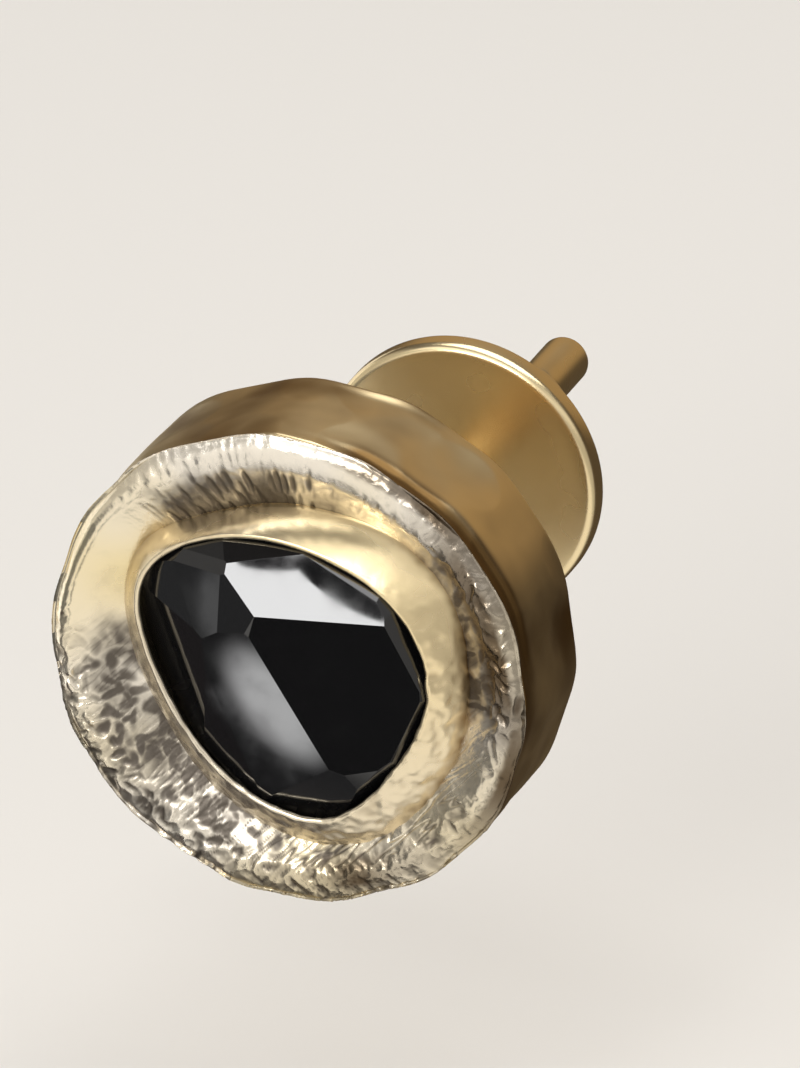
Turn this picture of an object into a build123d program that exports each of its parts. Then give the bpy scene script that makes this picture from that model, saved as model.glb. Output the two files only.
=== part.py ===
from build123d import *
import os
from collections import namedtuple
from math import cos, radians, sin, tan

# Stud earring: a hammered round drum of gold with a black cut stone in a raised collar,
# on a straight post that is held behind the ear lobe by a plain friction nut.
# Millimetres. The face looks along -Y, the post runs along +Y and +Z is up as worn.
# The origin is the middle of the drum's back, which lies on the ear lobe.

# Drum
DRUM_RADIUS = 3.9
DRUM_DEPTH = 2.2  # from the back to the foot of the front bevel
BEVEL = 0.25  # bright-cut front edge, as wide as it is deep
BACK_ROUNDING = 0.12
RING_DISH_ANGLE = 24.0  # the hammered ring sinks towards the collar
FLAT_DEPTH = 0.06  # planished flats on the side wall

# Collar round the stone
LIP_RISE = 0.17  # how far its top stands forward of the drum's front edge
LIP_LAND = 0.12  # its flat top
LIP_THICKNESS = 0.20  # metal bent over the stone's edge
COLLAR_WIDTH = 0.60  # from the stone's visible edge to the collar's foot
COLLAR_DROP = 0.50  # from its top to its foot
COLLAR_BURIED = 0.60  # its wall goes on down into the drum

# Stone and its seat
STONE_RADIUS = 2.25  # mean radius of what shows inside the collar
GIRDLE_HEIGHT = 0.67
CROWN_HEIGHT = 0.66
GIRDLE_LAP = 0.12  # how far the collar covers the stone's edge
RIM_FACETS = 16
RIM_SLOPE = 45.0
RIM_STEEPER = 14.0  # by how many degrees the rim is steeper on the side that faces STEEP_BEARING
STEEP_BEARING = 15.0
EDGE_SINK = 0.08  # the stone's visible edge lies this far below the collar's top
SEAT_CLEARANCE = 0.03

# Ear nut
LOBE_GAP = 5.0  # room for the lobe between the drum and the nut
NUT_RADIUS = 2.3
NUT_LENGTH = 2.5
NUT_FLANGE = 0.5
NUT_HUB_RADIUS = 1.1
NUT_CLEARANCE = 0.03
NUT_ROUNDING = 0.15

# Post
POST_RADIUS = 0.4
POST_LENGTH = 10.0
POST_TIP_ROUNDING = 0.18
SOLDER_RADIUS = 0.15
NOTCH_FROM_TIP = 1.9
NOTCH_WIDTH = 0.6
NOTCH_DEPTH = 0.07

# The stone isn't round. Bearings are in degrees seen from the front, 0 to the right and 90 up.
# Shares are of STONE_RADIUS for the stone's visible edge and of COLLAR_WIDTH for the collar.
Edge = namedtuple("Edge", "bearing stone collar")
EDGES = [
    Edge(5, 1.06, 0.75),
    Edge(40, 1.045, 1.40),
    Edge(80, 0.99, 0.83),
    Edge(115, 1.06, 0.36),
    Edge(150, 1.14, 0.63),
    Edge(185, 0.90, 0.95),
    Edge(214, 0.83, 0.90),
    Edge(255, 0.925, 1.15),
    Edge(290, 1.055, 1.15),
    Edge(332, 0.98, 1.23),
]

# The crown's main facets. Each plane stands at the crown's full height at its reach, a share of
# STONE_RADIUS along its bearing, and falls outwards at its slope. The first is the broad table.
Facet = namedtuple("Facet", "bearing slope reach")
FACETS = [
    Facet(-15, 9.0, -0.23),
    Facet(72, 24.5, 0.485),
    Facet(128, 30.0, 0.70),
    Facet(153, 12.5, 0.33),
    Facet(163, 19.5, 0.36),
    Facet(174, 25.0, 0.39),
    Facet(200, 30.0, 0.255),
    Facet(226, 18.0, -0.04),
    Facet(236, 13.6, -0.24),
    Facet(275, 24.0, 0.34),
    Facet(305, 22.0, 0.445),
]

# Planished flats on the side wall, with depths as shares of FLAT_DEPTH
Flat = namedtuple("Flat", "bearing depth")
FLATS = [
    Flat(8, 1.0),
    Flat(36, 0.6),
    Flat(60, 1.0),
    Flat(84, 0.8),
    Flat(110, 1.0),
    Flat(139, 0.7),
    Flat(163, 1.0),
    Flat(190, 0.8),
    Flat(214, 0.6),
    Flat(242, 1.0),
    Flat(268, 0.7),
    Flat(293, 1.0),
    Flat(318, 0.7),
    Flat(343, 0.9),
]

# Heights, all measured forward from the drum's back
FRONT_EDGE = DRUM_DEPTH + BEVEL
LIP_TOP = FRONT_EDGE + LIP_RISE
COLLAR_FOOT = LIP_TOP - COLLAR_DROP
COLLAR_ROOT = COLLAR_FOOT - COLLAR_BURIED
GIRDLE_TOP = LIP_TOP - LIP_THICKNESS
STONE_BASE = GIRDLE_TOP - GIRDLE_HEIGHT
STONE_PEAK = GIRDLE_TOP + CROWN_HEIGHT

FAR = 4 * DRUM_RADIUS  # larger than anything that a cut passes through
FORWARD = (Align.CENTER, Align.CENTER, Align.MIN)
BACKWARD = (Align.CENTER, Align.CENTER, Align.MAX)


def polar(bearing, radius):
    """The point of the face at this bearing and radius."""
    return (radius * cos(radians(bearing)), radius * sin(radians(bearing)))


def stone_edge(beyond=0.0):
    """Points round the stone's visible edge, moved out by a fixed distance."""
    return [polar(edge.bearing, STONE_RADIUS * edge.stone + beyond) for edge in EDGES]


def collar_foot():
    """Points round the foot of the collar, on the hammered ring."""
    return [
        polar(edge.bearing, STONE_RADIUS * edge.stone + COLLAR_WIDTH * edge.collar)
        for edge in EDGES
    ]


def outline(points, height):
    """A flat face with a smooth closed outline through the points, at this height."""
    line = Spline(*[(x, y, height) for x, y in points], periodic=True)
    return Face(Wire([line]))


def prism(points, low, high):
    """A straight block with a smooth outline, between two heights."""
    return extrude(outline(points, low), amount=high - low, dir=(0, 0, 1))


def cutter(bearing, slope, reach, height):
    """Everything beyond the plane that stands at this height at its reach and falls outwards."""
    x, y = polar(bearing, reach)
    block = Box(FAR, FAR, FAR, align=FORWARD)
    return Location((x, y, height)) * Rotation(0, 0, bearing) * Rotation(0, slope, 0) * block


def drum():
    """The turned drum, with its front edge bevelled and its ring sunk towards the collar."""
    front_radius = DRUM_RADIUS - BEVEL
    back_radius = DRUM_RADIUS - BACK_ROUNDING
    floor = FRONT_EDGE - (front_radius - STONE_RADIUS) * tan(radians(RING_DISH_ANGLE))
    profile = Curve() + [
        Line((0, 0), (back_radius, 0)),
        RadiusArc((back_radius, 0), (DRUM_RADIUS, BACK_ROUNDING), -BACK_ROUNDING),
        Polyline(
            (DRUM_RADIUS, BACK_ROUNDING),
            (DRUM_RADIUS, DRUM_DEPTH),
            (front_radius, FRONT_EDGE),
            (STONE_RADIUS, floor),
            (0, floor),
            (0, 0),
        ),
    ]
    return revolve(Plane.XZ * make_face(profile), Axis.Z)


def collar():
    """The raised collar round the stone, still solid inside."""
    foot = outline(collar_foot(), COLLAR_FOOT)
    top = outline(stone_edge(LIP_LAND), LIP_TOP)
    return loft([foot, top]) + prism(collar_foot(), COLLAR_ROOT, COLLAR_FOOT)


def stone_pocket():
    """The pocket for the stone, drawn in under the lip and open in front."""
    wall = stone_edge(GIRDLE_LAP + SEAT_CLEARANCE)
    lip_start = GIRDLE_TOP + SEAT_CLEARANCE
    seat = prism(wall, STONE_BASE - SEAT_CLEARANCE, lip_start)
    lip = loft([outline(wall, lip_start), outline(stone_edge(), LIP_TOP)])
    mouth = prism(stone_edge(), LIP_TOP, STONE_PEAK)
    return seat + lip + mouth


def post():
    """The straight post behind the drum, with its rounded tip and a shallow round notch."""
    shaft = Cylinder(POST_RADIUS, POST_LENGTH, align=BACKWARD)
    shaft = fillet(shaft.edges().sort_by(Axis.Z)[0], POST_TIP_ROUNDING)
    notch_curve = (NOTCH_WIDTH**2 / 4 + NOTCH_DEPTH**2) / (2 * NOTCH_DEPTH)
    notch = Torus(POST_RADIUS - NOTCH_DEPTH + notch_curve, notch_curve)
    return shaft - Location((0, 0, NOTCH_FROM_TIP - POST_LENGTH)) * notch


def solder(metal):
    """The metal with a small fillet of solder where the post meets the drum's back."""
    back = metal.faces().filter_by(Plane.XY).filter_by(lambda face: abs(face.center().Z) < BEVEL / 100)
    joint = back.sort_by(SortBy.AREA)[-1].inner_wires()[0].edges()
    return fillet(joint, SOLDER_RADIUS)


def setting():
    """Drum, collar and post, soldered into one piece of metal."""
    metal = drum() + collar() - stone_pocket()
    for flat in FLATS:
        metal -= cutter(flat.bearing, 90, DRUM_RADIUS - FLAT_DEPTH * flat.depth, 0)
    return solder(metal + post())


def stone():
    """The black stone: a straight girdle, a rim of small facets and the main facets in front."""
    edge = stone_edge()
    gem = prism(stone_edge(GIRDLE_LAP), STONE_BASE, STONE_PEAK)
    for number in range(RIM_FACETS):
        bearing = 360 * number / RIM_FACETS
        x, y = polar(bearing, 1)
        reach = max(x * px + y * py for px, py in edge)
        slope = RIM_SLOPE + RIM_STEEPER * max(0, cos(radians(bearing - STEEP_BEARING)))
        gem -= cutter(bearing, slope, reach, LIP_TOP - EDGE_SINK)
    for facet in FACETS:
        gem -= cutter(facet.bearing, facet.slope, STONE_RADIUS * facet.reach, STONE_PEAK)
    return gem


def ear_nut():
    """The friction nut behind the lobe, a disc with a hub that slides on the post."""
    nut = Cylinder(NUT_RADIUS, NUT_FLANGE, align=BACKWARD)
    nut += Cylinder(NUT_HUB_RADIUS, NUT_LENGTH, align=BACKWARD)
    nut = fillet(nut.edges().filter_by(GeomType.CIRCLE), NUT_ROUNDING)
    nut -= Cylinder(POST_RADIUS + NUT_CLEARANCE, NUT_LENGTH, align=BACKWARD)
    return Location((0, 0, -LOBE_GAP)) * nut


PIECES = {
    "setting": setting,
    "stone": stone,
    "ear_nut": ear_nut,
}

os.makedirs("parts", exist_ok=True)
for name, make in PIECES.items():
    as_worn = Plane.XZ.location * make()
    export_step(as_worn, f"parts/{name}.step")
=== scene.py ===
from collections import namedtuple
from math import asin, atan2, cos, degrees, exp, hypot, log, pi, radians, sin, tan

import bmesh
import bpy
import numpy as np
from bmesh.types import BMEdge, BMVert
from bpy.props import FloatProperty, FloatVectorProperty, PointerProperty
from bpy.types import NodeSocket, Operator, Panel, PropertyGroup
from mathutils import Matrix, Vector, noise
from mathutils.bvhtree import BVHTree


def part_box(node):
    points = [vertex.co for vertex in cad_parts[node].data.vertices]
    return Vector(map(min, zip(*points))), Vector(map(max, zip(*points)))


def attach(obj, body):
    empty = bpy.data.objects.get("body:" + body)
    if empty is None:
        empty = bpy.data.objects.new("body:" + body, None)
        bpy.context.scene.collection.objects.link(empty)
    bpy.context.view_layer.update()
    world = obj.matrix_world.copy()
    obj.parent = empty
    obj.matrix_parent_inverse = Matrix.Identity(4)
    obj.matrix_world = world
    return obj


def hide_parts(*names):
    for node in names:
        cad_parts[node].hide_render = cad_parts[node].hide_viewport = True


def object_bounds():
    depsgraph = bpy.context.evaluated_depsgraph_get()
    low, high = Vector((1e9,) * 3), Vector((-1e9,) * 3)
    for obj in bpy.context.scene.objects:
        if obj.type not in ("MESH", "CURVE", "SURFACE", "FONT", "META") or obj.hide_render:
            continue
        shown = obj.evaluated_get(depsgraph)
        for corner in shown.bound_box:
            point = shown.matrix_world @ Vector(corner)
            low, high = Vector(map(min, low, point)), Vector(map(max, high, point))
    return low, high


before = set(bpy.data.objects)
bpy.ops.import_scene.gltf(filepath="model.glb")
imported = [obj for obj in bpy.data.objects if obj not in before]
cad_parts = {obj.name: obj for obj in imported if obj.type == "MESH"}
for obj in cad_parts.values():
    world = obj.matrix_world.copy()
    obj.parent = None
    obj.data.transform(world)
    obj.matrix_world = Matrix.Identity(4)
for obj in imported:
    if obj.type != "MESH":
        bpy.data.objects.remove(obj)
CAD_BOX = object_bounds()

bl_info = {
    "name": "Hammered Stud Earring",
    "version": (1, 0, 0),
    "blender": (4, 5, 0),
    "location": "3D View > Sidebar > Stud",
    "description": "Makes the visible pieces of a hammered gold stud with a black cut stone",
    "category": "Add Mesh",
}

MM = 0.001
AXIS = 1e-6 * MM  # stands for no radius at all until a pole's points are merged
HAIR = 0.01 * MM  # too small a step to see, for telling a profile's points apart
BODY = "root"

# Each piece is shaped on the bench: its own Z looks forward out of the drum's back, its Y is up as
# worn. This turns it to the worn pose, with the face along -Y.
AS_WORN = Matrix.Rotation(radians(90), 4, "X")

# Bearings run round the face in degrees as seen from the front, 0 to the right and 90 up.
HALF_DEGREES = np.arange(0, 360, 0.5)

# Steps round each turned piece
RING_STEPS = 900
DRUM_STEPS = 720
NUT_STEPS = 160
POST_STEPS = 128

BEVEL_SLOPE = 45  # degrees at which the ring's bevel falls to the seam

# Where the pieces of metal meet, mostly out of sight
EDGE_ROUNDING = 0.05 * MM  # of the two edges that meet in the seam behind the ring
RING_LAP = 0.12 * MM  # how far the ring goes on under the collar's foot
RING_BURIED = 1.0 * MM  # how far the ring's metal goes back from its front edge
COLLAR_BURIED = 0.5 * MM  # how far the collar's wall goes on below its foot
WALL_BURIED = 0.7 * MM  # how far behind the seam the wall closes inside the drum
POST_BURIED = 0.2 * MM  # how far inside the drum the post starts
CLEARANCE = 0.03 * MM  # round the stone in its seat, and between the post and the nut

# Marks in the metal. A dash's reach and a punch mark's length and width are shares of its size.
WANDER_SEED = 3  # for the drift that keeps dents and punch marks from lying too evenly
RIDGE_SHARPNESS = 14  # how crisp the ridges between hammer dents are
DENT_FALL = 2.6  # how quickly a dent deepens from its edge to its middle
DASH_REACH = 0.55  # from a dash's middle to its end
PUNCH_TURNS = (25, 80, 140)  # directions of the short punch marks, in degrees
PUNCH_LENGTH = 1.5
PUNCH_WIDTH = 0.75
SCRATCH_STRETCH = 7  # how many times longer than wide the scratches' pattern is
SCRATCH_REACH = 0.12  # how far from zero the scratches' pattern still makes a scratch
SCRATCH_DEPTH = 0.02 * MM

# How uneven the metal is: its soft swells, the fine grit of the ring, and the collar's lumps
RING_SWELL = 0.03 * MM
RING_GRIT = 0.005 * MM
COLLAR_SWELL = 0.012 * MM
COLLAR_LUMPS = 0.028 * MM
SIDE_SWELL = 0.008 * MM

# The finish of the ring, row by row round the face. Each column is a share of that mark's full
# depth or strength: broad hammer dents, punched pits, radial strokes, crossing scratches, tarnish
# in the hollows, painted shade along the collar, how yellow the metal is, brown over the outer
# part of the face, and brown on the bevel, which is painted shade.
Finish = namedtuple("Finish", "bearing dents pits strokes scratches tarnish shade warmth brown bevel")
RING_FINISH = [
    Finish(0, 0.9, 0.80, 0.1, 0.2, 1.0, 0.80, 0.20, 0.9, 0.6),
    Finish(12, 0.9, 0.80, 0.1, 0.2, 1.0, 0.50, 0.20, 1.0, 0.4),
    Finish(24, 0.8, 0.80, 0.2, 0.1, 1.0, 0.80, 0.15, 0.9, 0.6),
    Finish(40, 0.6, 0.70, 0.2, 0.0, 0.8, 0.40, 0.10, 0.9, 0.7),
    Finish(52, 0.5, 0.40, 0.2, 0.0, 0.6, 0.50, 0.00, 0.2, 1.0),
    Finish(61, 0.4, 0.25, 0.3, 0.0, 0.5, 0.10, 0.00, 0.0, 0.8),
    Finish(72, 0.3, 0.10, 0.4, 0.0, 0.6, 0.95, 0.00, 0.0, 0.8),
    Finish(84, 0.2, 0.05, 0.8, 0.0, 0.8, 0.70, 0.00, 0.0, 0.2),
    Finish(94, 0.2, 0.05, 1.0, 0.0, 1.0, 1.05, 0.00, 0.0, 0.0),
    Finish(122, 0.2, 0.15, 1.0, 0.0, 1.0, 1.10, 0.00, 0.0, 0.0),
    Finish(131, 0.3, 0.30, 0.7, 0.0, 0.9, 0.70, 0.10, 0.0, 0.0),
    Finish(140, 0.5, 0.00, 0.0, 0.0, 0.0, 0.00, 0.45, 0.0, 0.0),
    Finish(156, 0.5, 0.00, 0.0, 0.0, 0.0, 0.10, 0.70, 0.0, 0.0),
    Finish(168, 0.5, 0.00, 0.0, 0.1, 0.2, 0.30, 0.65, 0.0, 0.0),
    Finish(178, 0.5, 0.25, 0.0, 0.2, 0.8, 0.70, 0.50, 0.0, 0.0),
    Finish(190, 0.5, 0.80, 0.0, 0.3, 1.0, 0.50, 0.30, 0.0, 0.0),
    Finish(210, 0.5, 1.00, 0.0, 0.2, 1.0, 0.60, 0.10, 0.1, 0.0),
    Finish(228, 0.5, 0.90, 0.0, 0.3, 1.0, 0.50, 0.15, 0.0, 0.0),
    Finish(246, 0.6, 0.80, 0.0, 0.6, 1.0, 0.70, 0.30, 0.0, 0.0),
    Finish(268, 0.6, 0.65, 0.0, 0.8, 0.9, 0.25, 0.40, 0.2, 0.1),
    Finish(278, 0.7, 0.70, 0.0, 1.0, 0.9, 0.10, 0.45, 0.3, 0.3),
    Finish(288, 0.7, 0.80, 0.0, 1.0, 1.0, 0.20, 0.50, 1.0, 0.5),
    Finish(298, 0.7, 0.70, 0.0, 0.8, 0.8, 0.00, 0.45, 0.5, 0.2),
    Finish(315, 0.7, 0.60, 0.0, 0.6, 0.9, 0.20, 0.40, 0.2, 0.3),
    Finish(338, 0.8, 0.35, 0.1, 0.2, 0.3, 0.00, 0.20, 0.1, 1.0),
    Finish(350, 0.8, 0.45, 0.1, 0.2, 0.5, 0.10, 0.20, 0.4, 0.9),
]

# How far the ring's outer edge is rolled, as a share of its full radius
EdgeRoll = namedtuple("EdgeRoll", "bearing share")
EDGE_ROLLS = [
    EdgeRoll(20, 0.5),
    EdgeRoll(55, 1.0),
    EdgeRoll(125, 1.0),
    EdgeRoll(145, 0.35),
    EdgeRoll(200, 0.35),
    EdgeRoll(225, 0.9),
    EdgeRoll(320, 0.9),
]

# The collar's slope round the face, as a share of its full width, how lumpy its metal is, how far
# it is rubbed pale, and how much painted shade lies along its foot
Slope = namedtuple("Slope", "bearing width lumps pale crease")
COLLAR_SLOPE = [
    Slope(5, 0.75, 1.0, 0.1, 0.6),
    Slope(40, 1.40, 0.1, 0.0, 0.9),
    Slope(60, 1.115, 0.1, 0.0, 0.2),
    Slope(80, 0.83, 0.1, 0.0, 0.4),
    Slope(115, 0.36, 0.2, 0.4, 0.1),
    Slope(150, 0.63, 0.3, 0.5, 0.5),
    Slope(185, 0.95, 0.4, 0.9, 0.3),
    Slope(214, 0.90, 0.6, 1.0, 0.0),
    Slope(255, 1.15, 0.7, 0.9, 0.0),
    Slope(290, 1.15, 1.0, 0.7, 0.0),
    Slope(332, 1.23, 1.0, 0.5, 0.5),
]

# Painted dark reflections over the side's whole depth, and painted shade in a band behind its front edge
SideShade = namedtuple("SideShade", "bearing whole band")
SIDE_SHADE = [
    SideShade(0, 0.6, 0.2),
    SideShade(24, 0.6, 0.9),
    SideShade(40, 0.1, 1.0),
    SideShade(58, 0.0, 1.0),
    SideShade(70, 0.4, 0.8),
    SideShade(82, 0.1, 0.1),
    SideShade(98, 0.9, 0.0),
    SideShade(108, 0.7, 0.0),
    SideShade(124, 0.3, 0.0),
    SideShade(200, 0.3, 0.0),
    SideShade(320, 0.5, 0.0),
]


def linear(hex_colour):
    """An sRGB hex colour as the linear red, green and blue that shaders use."""
    shares = [int(hex_colour[place : place + 2], 16) / 255 for place in (0, 2, 4)]
    return [s / 12.92 if s <= 0.04045 else ((s + 0.055) / 1.055) ** 2.4 for s in shares]


class RingSettings(PropertyGroup):
    """Sizes and colours of the hammered ring round the collar."""

    front_radius: FloatProperty(
        name="Front Radius", description="Where the ring's face meets the bevel",
        default=3.65 * MM, unit="LENGTH",
    )
    front_edge: FloatProperty(
        name="Front Edge", description="How far its outer edge stands forward of the drum's back",
        default=2.45 * MM, unit="LENGTH",
    )
    bevel: FloatProperty(
        name="Bevel", description="Width and depth of the bright-cut edge",
        default=0.25 * MM, unit="LENGTH",
    )
    roll: FloatProperty(
        name="Roll", description="Radius at which the ring's face rolls over into the bevel",
        default=0.6 * MM, unit="LENGTH",
    )
    dish: FloatProperty(
        name="Dish", description="Slope at which the ring sinks towards the collar",
        default=radians(24), subtype="ANGLE",
    )
    dent_size: FloatProperty(
        name="Dent Size", description="Width of one broad hammer dent",
        default=0.8 * MM, unit="LENGTH",
    )
    dent_depth: FloatProperty(
        name="Dent Depth", description="Depth of a broad hammer dent",
        default=0.045 * MM, unit="LENGTH",
    )
    pit_size: FloatProperty(
        name="Pit Size", description="Distance between punched pits",
        default=0.24 * MM, unit="LENGTH",
    )
    pit_depth: FloatProperty(
        name="Pit Depth", description="Depth of the deepest pits",
        default=0.1 * MM, unit="LENGTH",
    )
    stroke_gap: FloatProperty(
        name="Stroke Gap", description="Distance between radial strokes",
        default=0.13 * MM, unit="LENGTH",
    )
    stroke_depth: FloatProperty(
        name="Stroke Depth", description="Depth of a radial stroke",
        default=0.035 * MM, unit="LENGTH",
    )
    pale_gold: FloatVectorProperty(
        name="Pale Gold", description="Colour of the pale hammered gold",
        default=linear("F5EDDF"), subtype="COLOR",
    )
    warm_gold: FloatVectorProperty(
        name="Warm Gold", description="Colour where the ring is worn to yellow",
        default=linear("F4E1B0"), subtype="COLOR",
    )
    # Also the colour of the painted shade towards the collar.
    tarnish: FloatVectorProperty(
        name="Tarnish", description="Colour of the tarnish in the hollows",
        default=linear("69625A"), subtype="COLOR",
    )
    # Along the bevel this brown is painted shade.
    brown: FloatVectorProperty(
        name="Bevel Brown", description="Colour of the brown tarnish along the bevel",
        default=linear("5F4F3B"), subtype="COLOR",
    )


class CollarSettings(PropertyGroup):
    """Sizes of the raised collar round the stone."""

    top: FloatProperty(
        name="Top", description="How far the collar stands forward of the drum's back",
        default=2.62 * MM, unit="LENGTH",
    )
    drop: FloatProperty(
        name="Drop", description="From the collar's top to its foot",
        default=0.5 * MM, unit="LENGTH",
    )
    width: FloatProperty(
        name="Width", description="From the stone's visible edge to the collar's foot",
        default=0.6 * MM, unit="LENGTH",
    )
    land: FloatProperty(
        name="Land", description="Width of the collar's rounded top",
        default=0.12 * MM, unit="LENGTH",
    )
    lip: FloatProperty(
        name="Lip", description="Thickness of the metal bent over the stone's edge",
        default=0.17 * MM, unit="LENGTH",
    )
    lap: FloatProperty(
        name="Lap", description="How far the lip covers the stone's edge",
        default=0.12 * MM, unit="LENGTH",
    )
    crown: FloatProperty(
        name="Crown", description="How far the middle of the slope swells out",
        default=0.05 * MM, unit="LENGTH",
    )


class SideSettings(PropertyGroup):
    """Sizes of the drum's side and back."""

    rounding: FloatProperty(
        name="Back Rounding", description="Rounding of the edge between side and back",
        default=0.12 * MM, unit="LENGTH",
    )
    dent_size: FloatProperty(
        name="Dent Size", description="Width of one hammer dent on the side",
        default=1.15 * MM, unit="LENGTH",
    )
    dent_depth: FloatProperty(
        name="Dent Depth", description="Depth of a hammer dent on the side",
        default=0.055 * MM, unit="LENGTH",
    )
    groove_depth: FloatProperty(
        name="Groove Depth", description="Depth of the shallow groove behind the ring",
        default=0.07 * MM, unit="LENGTH",
    )


class MetalSettings(PropertyGroup):
    """Colours of the plain yellow gold."""

    gold: FloatVectorProperty(
        name="Yellow Gold", description="Colour of the polished yellow gold",
        default=linear("F5E0B2"), subtype="COLOR",
    )
    rubbed: FloatVectorProperty(
        name="Rubbed Gold", description="Colour where the collar is rubbed pale",
        default=linear("EFE4CF"), subtype="COLOR",
    )
    # Also the colour of the painted shade in the collar's crease and behind the ring, and of the painted
    # dark reflections on the drum's side.
    tarnish: FloatVectorProperty(
        name="Brown Tarnish", description="Colour of the brown tarnish on the drum's side",
        default=linear("7A5F39"), subtype="COLOR",
    )


class PostSettings(PropertyGroup):
    """Sizes of the post behind the drum."""

    radius: FloatProperty(
        name="Radius", description="Half of the post's thickness",
        default=0.4 * MM, unit="LENGTH",
    )
    solder: FloatProperty(
        name="Solder", description="Radius of the solder where the post leaves the drum",
        default=0.15 * MM, unit="LENGTH",
    )
    tip_rounding: FloatProperty(
        name="Tip Rounding", description="Rounding of the post's tip",
        default=0.18 * MM, unit="LENGTH",
    )
    notch_from_tip: FloatProperty(
        name="Notch From Tip", description="From the tip to the middle of the notch",
        default=1.9 * MM, unit="LENGTH",
    )
    notch_width: FloatProperty(
        name="Notch Width", description="Width of the notch",
        default=0.6 * MM, unit="LENGTH",
    )
    notch_depth: FloatProperty(
        name="Notch Depth", description="Depth of the notch",
        default=0.07 * MM, unit="LENGTH",
    )


class NutSettings(PropertyGroup):
    """Sizes of the ear nut."""

    flange: FloatProperty(
        name="Flange", description="Thickness of the disc against the lobe",
        default=0.5 * MM, unit="LENGTH",
    )
    hub_radius: FloatProperty(
        name="Hub Radius", description="Radius of the hub behind the disc",
        default=1.1 * MM, unit="LENGTH",
    )
    rounding: FloatProperty(
        name="Rounding", description="Rounding of the nut's edges",
        default=0.15 * MM, unit="LENGTH",
    )


class StoneSettings(PropertyGroup):
    """Edge and colour of the black stone."""

    edge: FloatProperty(
        name="Edge", description="Width of the worn edge between two facets",
        default=0.014 * MM, unit="LENGTH",
    )
    black: FloatVectorProperty(
        name="Black", description="Colour of the opaque stone",
        default=linear("0B0B0C"), subtype="COLOR",
    )


class StageSettings(PropertyGroup):
    """Where the camera stands and what lies round the earring."""

    azimuth: FloatProperty(
        name="Azimuth", description="How far the camera stands to the right of the face",
        default=radians(21.1), subtype="ANGLE",
    )
    elevation: FloatProperty(
        name="Elevation", description="How far the camera looks down on the face",
        default=radians(25.4), subtype="ANGLE",
    )
    view_height: FloatProperty(
        name="View Height", description="Height of what the camera sees at the earring",
        default=16.4 * MM, unit="LENGTH",
    )
    lens: FloatProperty(
        name="Lens", description="Focal length, long as for close work", default=400, unit="CAMERA"
    )
    floor_drop: FloatProperty(
        name="Floor Drop", description="How far the floor lies below the post",
        default=9 * MM, unit="LENGTH",
    )
    floor: FloatVectorProperty(
        name="Floor", description="Colour of the pale floor",
        default=linear("E6E3DE"), subtype="COLOR",
    )


class StudSettings(PropertyGroup):
    """All that a user would change on the stud earring."""

    ring: PointerProperty(type=RingSettings)
    collar: PointerProperty(type=CollarSettings)
    side: PointerProperty(type=SideSettings)
    metal: PointerProperty(type=MetalSettings)
    post: PointerProperty(type=PostSettings)
    nut: PointerProperty(type=NutSettings)
    stone: PointerProperty(type=StoneSettings)
    stage: PointerProperty(type=StageSettings)


def bearing_of(point):
    """The bearing of a point on the bench, in degrees."""
    return degrees(atan2(point.y, point.x)) % 360


def on_bench(bearing, reach, height):
    """The point on the bench at this bearing and distance from the post's axis."""
    return Vector((reach * cos(radians(bearing)), reach * sin(radians(bearing)), height))


def evened(values, reach):
    """Values round the face, each averaged with its neighbours out to this many degrees."""
    steps = int(reach * 2)
    return sum(np.roll(values, step) for step in range(-steps, steps + 1)) / (2 * steps + 1)


def all_round(rows, column, reach=4):
    """One column of a table at each half degree round the face, without corners."""
    bearings = [row.bearing for row in rows]
    values = [getattr(row, column) for row in rows]
    return evened(np.interp(HALF_DEGREES, bearings, values, period=360), reach)


def at(values, bearing):
    """The value at this bearing, from values at each half degree."""
    place = bearing * 2
    first = int(place) % len(values)
    return values[first] + (values[(first + 1) % len(values)] - values[first]) * (place - int(place))


def measured_radii(name, forward):
    """The solid's radius at each half degree round the post's axis, at this distance forward."""
    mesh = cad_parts[name].data
    solid = BVHTree.FromPolygons(
        [vert.co for vert in mesh.vertices], [face.vertices for face in mesh.polygons]
    )
    reach = (CAD_BOX[1] - CAD_BOX[0]).length
    radii = []
    for bearing in HALF_DEGREES:
        outwards = Vector((cos(radians(bearing)), 0, sin(radians(bearing))))
        hit = solid.ray_cast(Vector((0, -forward, 0)) + outwards * reach, -outwards)[0]
        radii.append(hit.dot(outwards))
    return evened(np.array(radii), 4)


def side_radii():
    """The radius of the drum's side, at each half degree."""
    return measured_radii("setting", bpy.context.scene.stud.ring.front_edge / 2)


def stone_edge():
    """The radius of the stone's visible edge inside the collar, at each half degree."""
    up_the_girdle = 0.3 * MM
    base = -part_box("stone")[1].y
    girdle = measured_radii("stone", base + up_the_girdle)
    return evened(girdle, 3) - bpy.context.scene.stud.collar.lap


def collar_foot():
    """The radius of the collar's foot, at each half degree."""
    width = bpy.context.scene.stud.collar.width
    return stone_edge() + width * all_round(COLLAR_SLOPE, "width", 14)


def turned(profile, steps):
    """A smooth round shape from a profile of radius and height, drawn out ring by ring."""
    bm = bmesh.new()
    bmesh.ops.create_circle(bm, segments=steps, radius=1)
    first = edges = list(bm.edges)
    ring = list(bm.verts)
    for radius, height in profile:
        if ring is None:
            made = bmesh.ops.extrude_edge_only(bm, edges=edges)["geom"]
            ring = [part for part in made if isinstance(part, BMVert)]
            edges = [part for part in made if isinstance(part, BMEdge)]
        for vert in ring:
            outwards = vert.co.to_2d().normalized() * max(radius, AXIS)
            vert.co = (*outwards, height)
        ring = None
    if profile[0][0] > 0:
        bmesh.ops.bridge_loops(bm, edges=first + edges)
    bmesh.ops.remove_doubles(bm, verts=bm.verts, dist=0.0005 * MM)
    bmesh.ops.recalc_face_normals(bm, faces=bm.faces)
    bm.normal_update()
    for face in bm.faces:
        face.smooth = True
    return bm


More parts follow.
